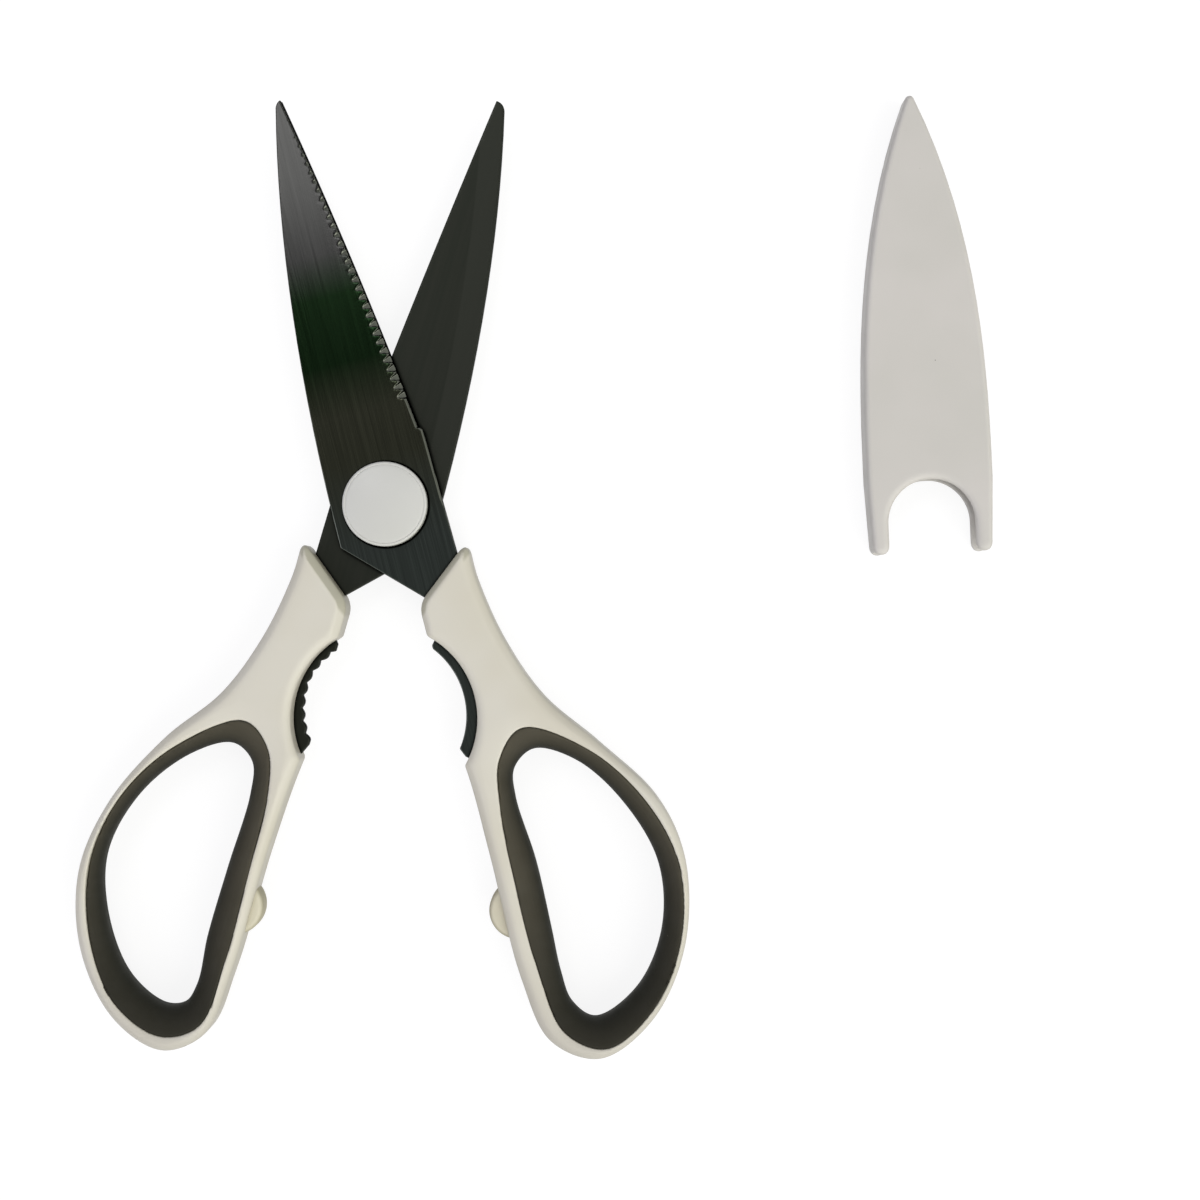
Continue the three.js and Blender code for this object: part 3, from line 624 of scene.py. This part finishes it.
def moulded_plastic(name, main, shade, painted_shade, roughness, handled=False):
    """Satin plastic: uneven tone, fine moulded grain, painted shade on steep sides and in corners, and a few
    dark specks.

    On a handle the slanted end and the lowest part carry painted shade.
    """
    paint = Paint(name, IOR=1.48)
    tone = paint.mix(paint.ramp(paint.noise(22), 0.35, 0.65), linear(main), linear(shade))
    if handled:
        # Painted shade on the chamfer of the slanted end
        from_end = paint.math("ADD", paint.along(paint.place, (*end_out, 0)), END_DISTANCE)
        end_shade = paint.math("MULTIPLY", paint.ramp(from_end, *PAINTED_END_SHADE_BAND, 0, 0.55), paint.steep(20, 38))
        tone = paint.mix(end_shade, tone, linear(PAINTED_END_SHADE))
        # Painted shade towards the handle's lowest part
        foot_shade = paint.ramp(paint.parts(paint.place)["Y"], *PAINTED_FOOT_SHADE_ZONE, 0, 0.35)
        tone = paint.mix(foot_shade, tone, linear(PAINTED_FOOT_SHADE))
    # Painted shade on steep sides and in corners
    tone = paint.mix(paint.ramp(paint.steep(55, 85), 0, 1, 0, 0.45), tone, linear(painted_shade))
    tone = paint.mix(paint.corner(reach=1.6, share=0.6), tone, linear(painted_shade))
    tone = paint.mix(paint.specks(spacing=9, size=0.13, share=0.3), tone, linear(PLASTIC_SPECK))
    paint.bump(paint.noise(0.16, detail=1), depth=0.004)
    return paint.finish(tone, paint.ramp(paint.noise(6), 0.3, 0.7, roughness - 0.05, roughness + 0.06))


def soft_rubber(name, main, shade, low, painted_wall_shade, dust, roughness):
    """Matt rubber with a fine grain and a little dust, and painted shade low on the handle and down its
    sides.
    """
    paint = Paint(name, Specular_IOR_Level=0.3)
    tone = paint.mix(paint.ramp(paint.noise(9), 0.35, 0.65), linear(main), linear(shade))
    # Painted shade lower on the handle
    foot_shade = paint.ramp(paint.parts(paint.place)["Y"], *LINER_PAINTED_FOOT_SHADE_ZONE, 0, 0.9)
    tone = paint.mix(foot_shade, tone, linear(low))
    tone = paint.mix(paint.specks(spacing=3.2, size=0.09, share=0.35), tone, linear(dust))
    # Painted shade on steep walls
    tone = paint.mix(paint.ramp(paint.steep(10, 62), 0, 1, 0, 0.9), tone, linear(painted_wall_shade))
    paint.bump(paint.noise(0.22, detail=2), depth=0.012)
    return paint.finish(tone, paint.ramp(paint.noise(3), 0.3, 0.7, roughness - 0.05, roughness + 0.05))


def coated_blade(name):
    """Black-coated steel: a polished outer face brushed lengthwise with painted reflections along it, a matt
    inner face, and painted shade on the steep edges, in corners and round the cap.
    """
    paint = Paint(name, Metallic=1.0, Specular_Tint=(0.25, 0.25, 0.25, 1))
    colour = {part: linear(code) for part, code in BLADE_COLOURS.items()}
    part = paint.parts(paint.place)
    brushed = paint.noise(0.13, stretch=(1, 160, 40), detail=3)
    broad = paint.noise(1.3, stretch=(1, 60, 60), detail=2)

    # Painted reflections run along the outer face, from a cool black at the neck through olive and dark green
    # to grey at the tip
    outer = colour["neck"]
    for zone, reach in PAINTED_REFLECTION_ZONES.items():
        outer = paint.mix(paint.ramp(part["Y"], *reach), outer, colour[zone])
    outer = paint.scaled(outer, paint.ramp(brushed, 0.3, 0.7, 0.8, 1.25))
    outer = paint.scaled(outer, paint.ramp(broad, 0.35, 0.7, 1.06, 0.9))
    ground = paint.ramp(part["Z"], *(outer_face + depth for depth in GROUND_DEPTH))
    outer = paint.mix(ground, outer, colour["ground"])

    # On the inner face a band along the spine stands out a little
    risen = paint.math("DIVIDE", paint.math("ADD", part["Y"], SHOULDER_DROP), BLADE_REACH + SHOULDER_DROP)
    drop = paint.math("POWER", paint.math("MAXIMUM", risen, 0.0), SPINE_POWER)
    spine = paint.math("SUBTRACT", SPINE_WIDTH, paint.math("MULTIPLY", drop, SPINE_WIDTH - TIP_CLIP))
    from_spine = paint.math("SUBTRACT", spine, part["X"])
    band = paint.ramp(from_spine, LAND_WIDTH + LAND_SOFTNESS, LAND_WIDTH - LAND_SOFTNESS, 0, 0.6)
    inner = paint.mix(paint.ramp(broad, 0.3, 0.7), colour["inner"], colour["inner_shade"])
    inner = paint.mix(band, inner, colour["spine_band"])

    is_inner = paint.ramp(part["Z"], outer_face + 0.5 * BLADE_THICKNESS, inner_face - 0.1)
    tone = paint.mix(is_inner, outer, inner)
    tone = paint.mix(paint.specks(spacing=5, size=0.09, share=0.3), tone, colour["speck"])
    flat = paint.node("CombineXYZ", {0: part["X"], 1: part["Y"]}).outputs[0]
    from_pivot = paint.node("VectorMath", {0: flat}, operation="LENGTH").outputs["Value"]
    # Painted shadow of the cap, in a ring round it
    tone = paint.mix(paint.ramp(from_pivot, *PAINTED_CAP_SHADOW), tone, colour["painted_cap_shadow"])
    # Painted shade on steep edge faces and scallop walls
    tone = paint.mix(paint.steep(46, 56, "True Normal"), tone, colour["painted_edge_shade"])
    # Painted shade in corners, where the blades overlap and round the cap
    tone = paint.mix(paint.corner(reach=1.0, share=0.95, begin=0.9, full=0.55), tone, colour["corner"])
    paint.bump(brushed, depth=0.001)
    polish = paint.ramp(brushed, 0.25, 0.75, 0.15, 0.21)
    return paint.finish(tone, paint.ramp(is_inner, 0, 1, polish, 0.46))


def turned_steel(name):
    """Bright steel with fine turning marks."""
    paint = Paint(name, Metallic=1.0)
    paint.place = paint.in_millimetres()
    marks = paint.noise(0.2, stretch=(1, 1, 8))
    tone = paint.mix(marks, *(linear(code) for code in STEEL))
    paint.bump(marks, depth=0.002)
    return paint.finish(tone, paint.ramp(marks, 0.3, 0.7, 0.26, 0.38))


# After the two tones, each plastic's darker colour is painted shade on steep sides and in corners
handle_plastic = moulded_plastic(
    "handle_plastic", main="#d8d5c8", shade="#d4d0c0", painted_shade="#8d8876", roughness=0.42, handled=True,
)
cap_plastic = moulded_plastic(
    "cap_plastic", main="#d2d3ce", shade="#cdcec8", painted_shade="#8f8d80", roughness=0.33,
)
sheath_plastic = moulded_plastic(
    "sheath_plastic", main="#d1cec8", shade="#cccac3", painted_shade="#b9b6ad", roughness=0.4,
)
# In each rubber the third and fourth colours are painted shade: lower on the handle and on steep walls
soft_liner = soft_rubber(
    "soft_liner", main="#4c483b", shade="#474336", low="#201f14", painted_wall_shade="#1b1c12", dust="#8a867a",
    roughness=0.72,
)
bumper_rubber = soft_rubber(
    "bumper_rubber", main="#dbd7c1", shade="#d6d1ba", low="#d6d1ba", painted_wall_shade="#a9a48b", dust="#a5a08a",
    roughness=0.6,
)
blade_steel = coated_blade("blade_steel")
pivot_steel = turned_steel("pivot_steel")


# Handles

def end_outline():
    """All that lies on the handle's side of its slanted end and its inner side."""
    foot = -END_DISTANCE * end_out

    def on_end(x):
        return foot + end_along * (x - foot[0]) / end_along[0]

    corner = on_end(-INNER_SIDE)
    turned = corner - END_CORNER * end_along
    below = corner - np.array([0, END_CORNER])
    return outline(
        on_end(-FAR), turned, bend(turned, corner, below), (corner[0], notch_centre[1]),
        (FAR, notch_centre[1]), (FAR, -FAR), (-FAR, -FAR),
    )


def handle_plan(side):
    """Seen from above: how far points lie from a handle's side, its end, its notch and its loop."""
    loops = LOOPS[side]
    centre = notch_centre + NOTCH_SHIFT[side]

    def plan(points):
        notch = NOTCH_RADIUS - np.linalg.norm(points - centre, axis=1)
        hole = -to_outline(points, loop(loops["liner"]))
        around = loop(HANDLE_INNER + loops["handle"] + HANDLE_OUTER)
        band = np.full(len(points), END_CHAMFER[side])
        return to_outline(points, around), to_outline(points, end_outline()), band, notch, hole

    return plan


def handle_shape(z, side, end, band, notch, hole):
    """A slightly crowned handle with rounded sides and a chamfered end."""
    crown = HANDLE_CROWN * np.clip(1 + np.maximum(side, hole) / CROWN_REACH, 0, 1) ** 2
    face = np.abs(z) - half_thickness + crown
    body = both(rounded(side, face, HANDLE_ROUND), end, HORN_BLEND)
    body = both(body, bevel(end, face, band), CHAMFER_BLEND)
    body = both(body, rounded(notch, face, NOTCH_ROUND), NOTCH_BLEND)
    return both(body, rounded(hole, face, HOLE_ROUND), SEAM_BLEND)


def liner_plan(side):
    """Seen from above: how far points lie from a liner's outside and from its opening."""
    loops = LOOPS[side]

    def plan(points):
        outside = to_outline(points, loop(loops["liner"])) - LINER_OVERLAP
        return outside, -to_outline(points, loop(loops["opening"]))

    return plan


def liner_shape(z, outside, inside):
    """A liner whose inner side is round from face to face."""
    face = np.abs(z) - half_thickness + LINER_SINK
    return both(rounded(outside, face, LINER_LIP), rounded(inside, face, LINER_ROUND), SEAM_BLEND)


def bumper_plan(side):
    """Seen from above: how far points lie from a bumper's round side and from its buried back."""
    centre = bumper_centre + BUMPER_SHIFT[side]

    def plan(points):
        back = -points[:, 0] - BUMPER_DEPTH - BUMPER_BURIED
        return np.linalg.norm(points - centre, axis=1) - BUMPER_RADIUS, back

    return plan


def bumper_shape(z, side, back):
    """A half-round bumper with soft edges."""
    return np.maximum(rounded(side, np.abs(z) - BUMPER_THICKNESS / 2, BUMPER_ROUND), back)


# Blades

def jaw_edge(toothed):
    """The working edge of a jaw, from its lower end up."""
    steps = TOOTH_COUNT * CURVE_STEPS
    done = np.linspace(0, 1, steps + 1)
    height = SMOOTH_JAW * np.ones_like(done)
    if toothed:
        valley = 1 - np.abs(np.sin(math.pi * TOOTH_COUNT * done))
        height = TOOTHED_JAW + TOOTHED_JAW_RISE * np.abs(1 - done / TOOTHED_JAW_WAIST) - TOOTH_DEPTH * valley
    edge = arc(notch_centre, NOTCH_RADIUS - height, JAW_END, JAW_START, steps)
    edge[:, 0] = np.minimum(edge[:, 0], -INNER_SIDE - JAW_SET_BACK)
    return edge


def blade_outline(blade, toothed):
    """A blade with its neck, its tang and its jaw, seen from above."""
    tang_inner = INNER_SIDE + TANG_COVER
    tang_end = JAW_END + JAW_LEAD
    root = arc(notch_centre, NOTCH_RADIUS + TANG_COVER / 2, JAW_START, JAW_START, 0)[0]
    shoulder = (blade["spine"], -SHOULDER_DROP)
    spine_end = (blade["spine_at_tip"], blade["reach"] - TIP_CLIP)
    heel, tip = blade_edge(blade)
    across = np.array([heel[1] - tip[1], tip[0] - heel[0]]) / np.linalg.norm(tip - heel)
    return outline(
        heel, (-NECK_WIDTH, HEEL_HEIGHT - HEEL_STEP), (-NECK_WIDTH - blade["neck_flare"], -NECK_DROP),
        arc(notch_centre, NOTCH_RADIUS + TANG_DEPTH, 180, tang_end),
        arc(notch_centre, NOTCH_RADIUS, tang_end, tang_end, 0),
        jaw_edge(toothed), root, (-tang_inner, root[1]),
        (-tang_inner, -SHOULDER_DROP - blade["spine"] - tang_inner), shoulder,
        bend(shoulder, (blade["spine"], SPINE_BEND), spine_end),
        bend(spine_end, (blade["spine_at_tip"] - TIP_CLIP / 2, blade["reach"]), tip),
        bend(tip, (heel + tip) / 2 + 2 * blade["bow"] * across, heel)[:-1],
    )


def blade_edge(blade):
    """The two ends of the cutting edge."""
    return np.array([-blade["heel"], HEEL_HEIGHT]), np.array([-blade["edge_at_tip"], blade["reach"]])


def blade_plan(blade, toothed):
    """How far points lie from the outline, how far along the edge from the heel, and which are near it."""
    heel, tip = blade_edge(blade)
    to_tip = (tip - heel) / np.linalg.norm(tip - heel)
    inward = np.array([to_tip[1], -to_tip[0]])

    def plan(points):
        side = to_outline(points, blade_outline(blade, toothed))
        side = np.maximum(side, PIVOT_BORE - np.linalg.norm(points, axis=1))
        along, inset = (points - heel) @ to_tip, (points - heel) @ inward
        near = np.where(along > 0, inset + side < EDGE_NEARER, inset < EDGE_SIDE)
        return side, along, near

    return plan


def blade_shape(z, side, along, near_edge):
    """A flat blade with a steep edge and, near the heel, a fine bevel above it."""
    middle = (inner_face + outer_face) / 2
    depth = z - outer_face
    body = rounded(side, np.abs(z - middle) - BLADE_THICKNESS / 2, BLADE_ROUND)
    lean = EDGE_STEEP / (BLADE_THICKNESS - EDGE_LAND)
    steep = np.where(along > 0, EDGE_STEEP, 0)
    edge = np.maximum(body, (steep - lean * depth + side) / math.hypot(1, lean))
    line = steep + EDGE_LINE * np.interp(along, EDGE_LINE_END, (0, 1, 1, 0))
    edge = both(edge, bevel(side, -depth, line), EDGE_BLEND)
    return np.where(near_edge, edge, body)


def serrated_shape(z, side, along, near_edge):
    """The same with a row of ground scallops along its edge."""
    depth = z - outer_face
    number = np.round((along - SCALLOPS_FROM_HEEL) / SCALLOP_PITCH)
    offset = along - SCALLOPS_FROM_HEEL - number * SCALLOP_PITCH
    done = np.clip(number / (SCALLOP_COUNT - 1), 0, 1)
    reach = SCALLOP_REACH + (SCALLOP_REACH_AT_TIP - SCALLOP_REACH) * done ** SCALLOP_TAPER
    slope = SCALLOP_SLOPE + (SCALLOP_SLOPE_AT_TIP - SCALLOP_SLOPE) * done
    outward = reach + side
    half = SCALLOP_HALF_WIDTH * np.clip(outward / SCALLOP_LENGTH, 0, 1) ** SCALLOP_POINT
    ground = np.minimum(slope * outward, SCALLOP_WALL * (half - np.abs(offset)))
    ground = np.where((number >= 0) & (number < SCALLOP_COUNT) & near_edge, ground, -1)
    return both(blade_shape(z, side, along, near_edge), ground - depth, SCALLOP_BLEND)


handle_heights = (-half_thickness, half_thickness)
bumper_heights = (-BUMPER_THICKNESS / 2, BUMPER_THICKNESS / 2)
for side, place, body in (("left", LEFT_HALF, "rear_half"), ("right", RIGHT_HALF, "front_half")):
    handle_skin = skin(HANDLE_SPAN, handle_heights, HANDLE_CELL, handle_plan(side), handle_shape)
    liner_skin = skin(HANDLE_SPAN, handle_heights, LINER_CELL, liner_plan(side), liner_shape)
    bumper_skin = skin(BUMPER_SPAN, bumper_heights, BUMPER_CELL, bumper_plan(side), bumper_shape)
    piece(f"{side}_handle", *handle_skin, place, handle_plastic, body, "handle_plastic")
    piece(f"{side}_loop_liner", *liner_skin, place, soft_liner, body, "soft_liner")
    piece(f"{side}_stop_bumper", *bumper_skin, place, bumper_rubber, body, "bumper_rubber")

blade_heights = (outer_face, inner_face)
for name, toothed, shape, place in (
    ("rear", True, blade_shape, LEFT_HALF), ("front", False, serrated_shape, RIGHT_HALF),
):
    blade_skin = skin(BLADE_SPAN, blade_heights, BLADE_CELL, blade_plan(BLADES[name], toothed), shape)
    piece(f"{name}_blade", *blade_skin, place, blade_steel, f"{name}_half", "blade_steel", BLADE_KEPT_FACES)


# Pivot

def turned_cap(crown):
    """A cap's profile turned about the Z axis, its foot at height 0."""
    flat = CAP_RADIUS - CAP_EDGE
    foot = CAP_RADIUS - CAP_FOOT
    rim = cap_height - crown
    profile = [(0, 0), (foot, 0), (foot, CAP_GAP), (CAP_RADIUS, CAP_GAP)]
    for angle in np.linspace(0, math.pi / 2, CURVE_STEPS):
        profile.append((flat + CAP_EDGE * math.cos(angle), rim - CAP_EDGE * (1 - math.sin(angle))))
    for share in np.linspace(0, 1, CURVE_STEPS // 2)[1:]:
        profile.append((flat - CAP_LINE * share, rim - CAP_LINE_DEPTH * math.sin(math.pi * share) ** 2))
    for share in np.linspace(1, 0, CURVE_STEPS)[1:]:
        profile.append(((flat - CAP_LINE) * share, rim + crown * (1 - share ** 2)))
    rings = np.array(profile[1:-1])
    angle = np.linspace(0, 2 * math.pi, CAP_SEGMENTS, endpoint=False)
    points = [(r * math.cos(a), r * math.sin(a), z) for r, z in rings for a in angle]
    points += [(0, 0, profile[0][1]), (0, 0, profile[-1][1])]
    faces = []
    for row in range(len(rings) - 1):
        for k in range(CAP_SEGMENTS):
            here, on = row * CAP_SEGMENTS + k, row * CAP_SEGMENTS + (k + 1) % CAP_SEGMENTS
            faces.append((here, on, on + CAP_SEGMENTS, here + CAP_SEGMENTS))
    last = (len(rings) - 1) * CAP_SEGMENTS
    for k in range(CAP_SEGMENTS):
        on = (k + 1) % CAP_SEGMENTS
        faces.append((on, k, len(points) - 2))
        faces.append((last + k, last + on, len(points) - 1))
    return np.array(points), faces


front_face = (half_thickness - outer_face + FIT_GAP) * MM
for name, crown, place in (
    ("front_cap", CAP_CROWN, Matrix.Translation((0, 0, front_face))),
    ("rear_cap", 0.0, Matrix.Translation((0, 0, cap_height * MM)) @ Matrix.Rotation(math.pi, 4, "X")),
):
    piece(name, *turned_cap(crown), place, cap_plastic, "front_half", "cap_plastic", 1)
for name in ("pivot_screw", "pivot_nut", "tension_washer"):
    frame["nodes"][name].data.materials.clear()
    frame["nodes"][name].data.materials.append(pivot_steel)


# Sheath

def sheath_outline(wall, mouth, corner, taper):
    """The sheath, or without a wall the room in it, seen from above."""
    width = SPINE_WIDTH + SHEATH_SIDE_ROOM + wall
    reach = BLADE_REACH + SHEATH_TIP_ROOM + wall
    arm = width - taper
    point = (SHEATH_TIP_WIDTH, reach - SHEATH_TIP_WIDTH)
    right = outline(
        (arm - corner, -mouth), bend((arm - corner, -mouth), (arm, -mouth), (arm, -mouth + corner)),
        (width, CAP_RADIUS), bend((width, CAP_RADIUS), (width, reach / 3), (width, 2 * reach / 3), point),
        bend(point, (0, reach), (-point[0], point[1])),
    )
    left = right[:-CURVE_STEPS] * (-1, 1)
    shape = np.concatenate([right, left[::-1]])
    shape[:, 0] += SHEATH_SWEEP * np.clip(shape[:, 1] / reach, 0, 1) ** 2
    return shape


def cap_cut_out():
    """What is cut away for the pivot's cap, with rounded ends of the arms beside it."""
    radius = CUT_OUT_RADIUS
    flare = radius + ARM_CORNER
    far = -SHEATH_MOUTH - SHEATH_BEYOND
    lip = -SHEATH_MOUTH + ARM_CORNER
    return outline(
        (-flare, far), (flare, far), (flare, -SHEATH_MOUTH),
        bend((flare, -SHEATH_MOUTH), (radius, -SHEATH_MOUTH), (radius, lip)),
        arc((0, 0), radius, 0, 180), (-radius, lip),
        bend((-radius, lip), (-radius, -SHEATH_MOUTH), (-flare, -SHEATH_MOUTH)),
    )


def sheath_plan(points):
    """How far points lie from the sheath's outside, from the room in it and from its cut-out."""
    outside = to_outline(points, sheath_outline(SHEATH_WALL, SHEATH_MOUTH, ARM_CORNER, ARM_TAPER))
    room = to_outline(points, sheath_outline(0, SHEATH_MOUTH + SHEATH_BEYOND, ROOM_CORNER, 0))
    return outside, room, -to_outline(points, cap_cut_out())


def sheath_shape(z, outside, room, cut_out):
    """A hollow sheath with a rounded lip round its cut-out."""
    face = np.abs(z) - sheath_outer
    shell = both(rounded(outside, face, SHEATH_ROUND), rounded(cut_out, face, SHEATH_LIP), SEAM_BLEND)
    return both(shell, -np.maximum(room, np.abs(z) - sheath_inner), SEAM_BLEND)


sheath_skin = skin(SHEATH_SPAN, (-sheath_outer, sheath_outer), SHEATH_CELL, sheath_plan, sheath_shape)
piece("blade_sheath", *sheath_skin, SHEATH_AT, sheath_plastic, "sheath", "sheath_plastic")


# Floor, light and camera

def floor():
    """A white floor that keeps a faint shadow: part of its white is paint, the rest is its own glow."""
    half = FLOOR_SIZE / 2
    mesh = bpy.data.meshes.new("floor")
    corners = [(-half, -half, 0), (half, -half, 0), (half, half, 0), (-half, half, 0)]
    mesh.from_pydata(corners, [], [(0, 1, 2, 3)])
    obj = bpy.data.objects.new("floor", mesh)
    obj.location.z = -FLOOR_DROP * MM
    bpy.context.scene.collection.objects.link(obj)
    material = bpy.data.materials.new("white_floor")
    material.use_nodes = True
    material.node_tree.nodes.clear()
    paint = Nodes(material.node_tree)
    path = paint.node("LightPath").outputs
    seen = paint.math("MAXIMUM", path["Is Camera Ray"], path["Is Glossy Ray"])
    seen = paint.math("MAXIMUM", seen, path["Is Transmission Ray"])
    glow = paint.node("Emission", {"Strength": paint.math("MULTIPLY", seen, FLOOR_GLOW)})
    matt = paint.node("BsdfDiffuse", {"Color": (FLOOR_PAINT, FLOOR_PAINT, FLOOR_PAINT, 1)})
    added = paint.node("AddShader", {0: matt.outputs[0], 1: glow.outputs[0]})
    paint.node("OutputMaterial", {"Surface": added.outputs[0]})
    obj.data.materials.append(material)


def lamp(name, place, aim, size, power, colour):
    """A soft box at a place that looks at a point, both in metres."""
    data = bpy.data.lights.new(name, "AREA")
    data.shape = "RECTANGLE"
    data.size, data.size_y = size
    data.energy = power
    data.color = colour
    obj = bpy.data.objects.new(name, data)
    obj.location = place
    obj.rotation_euler = (Vector(aim) - Vector(place)).to_track_quat("-Z", "Y").to_euler()
    bpy.context.scene.collection.objects.link(obj)


def world():
    """A soft sky: dim straight above, brighter towards the sides, and warmer on one side."""
    made = bpy.data.worlds.new("studio")
    bpy.context.scene.world = made
    made.use_nodes = True
    sky = Nodes(made.node_tree)
    way = sky.node("TexCoord").outputs["Generated"]
    level = sky.node("ValToRGB", {0: sky.parts(way)["Z"]})
    bar = level.color_ramp
    bar.elements[0].position = SKY[0][0]
    bar.elements[1].position = SKY[-1][0]
    for height, _ in SKY[1:-1]:
        bar.elements.new(height)
    for element, (_, value) in zip(bar.elements, SKY):
        element.color = (value, value, value, 1)
    tint = sky.mix(sky.ramp(sky.along(way, SKY_SIDE), -1, 1), SKY_DIM, SKY_BRIGHT)
    colour = sky.node("Mix", data_type="RGBA", blend_type="MULTIPLY")
    for value, socket in ((1.0, 0), (level.outputs[0], 6), (tint, 7)):
        sky.put(value, colour.inputs[socket])
    sky.put(colour.outputs[2], made.node_tree.nodes["Background"].inputs["Color"])


floor()
world()
for name, settings in LAMPS.items():
    lamp(name, **settings)

view = bpy.data.cameras.new("camera")
view.sensor_fit = "HORIZONTAL"
view.angle = math.radians(CAMERA_FIELD)
camera = bpy.data.objects.new("camera", view)
camera.location = CAMERA_PLACE
camera.rotation_euler = (0, 0, math.radians(CAMERA_ROLL))
bpy.context.scene.collection.objects.link(camera)
bpy.context.scene.camera = camera
bpy.context.scene.view_settings.view_transform = "Standard"
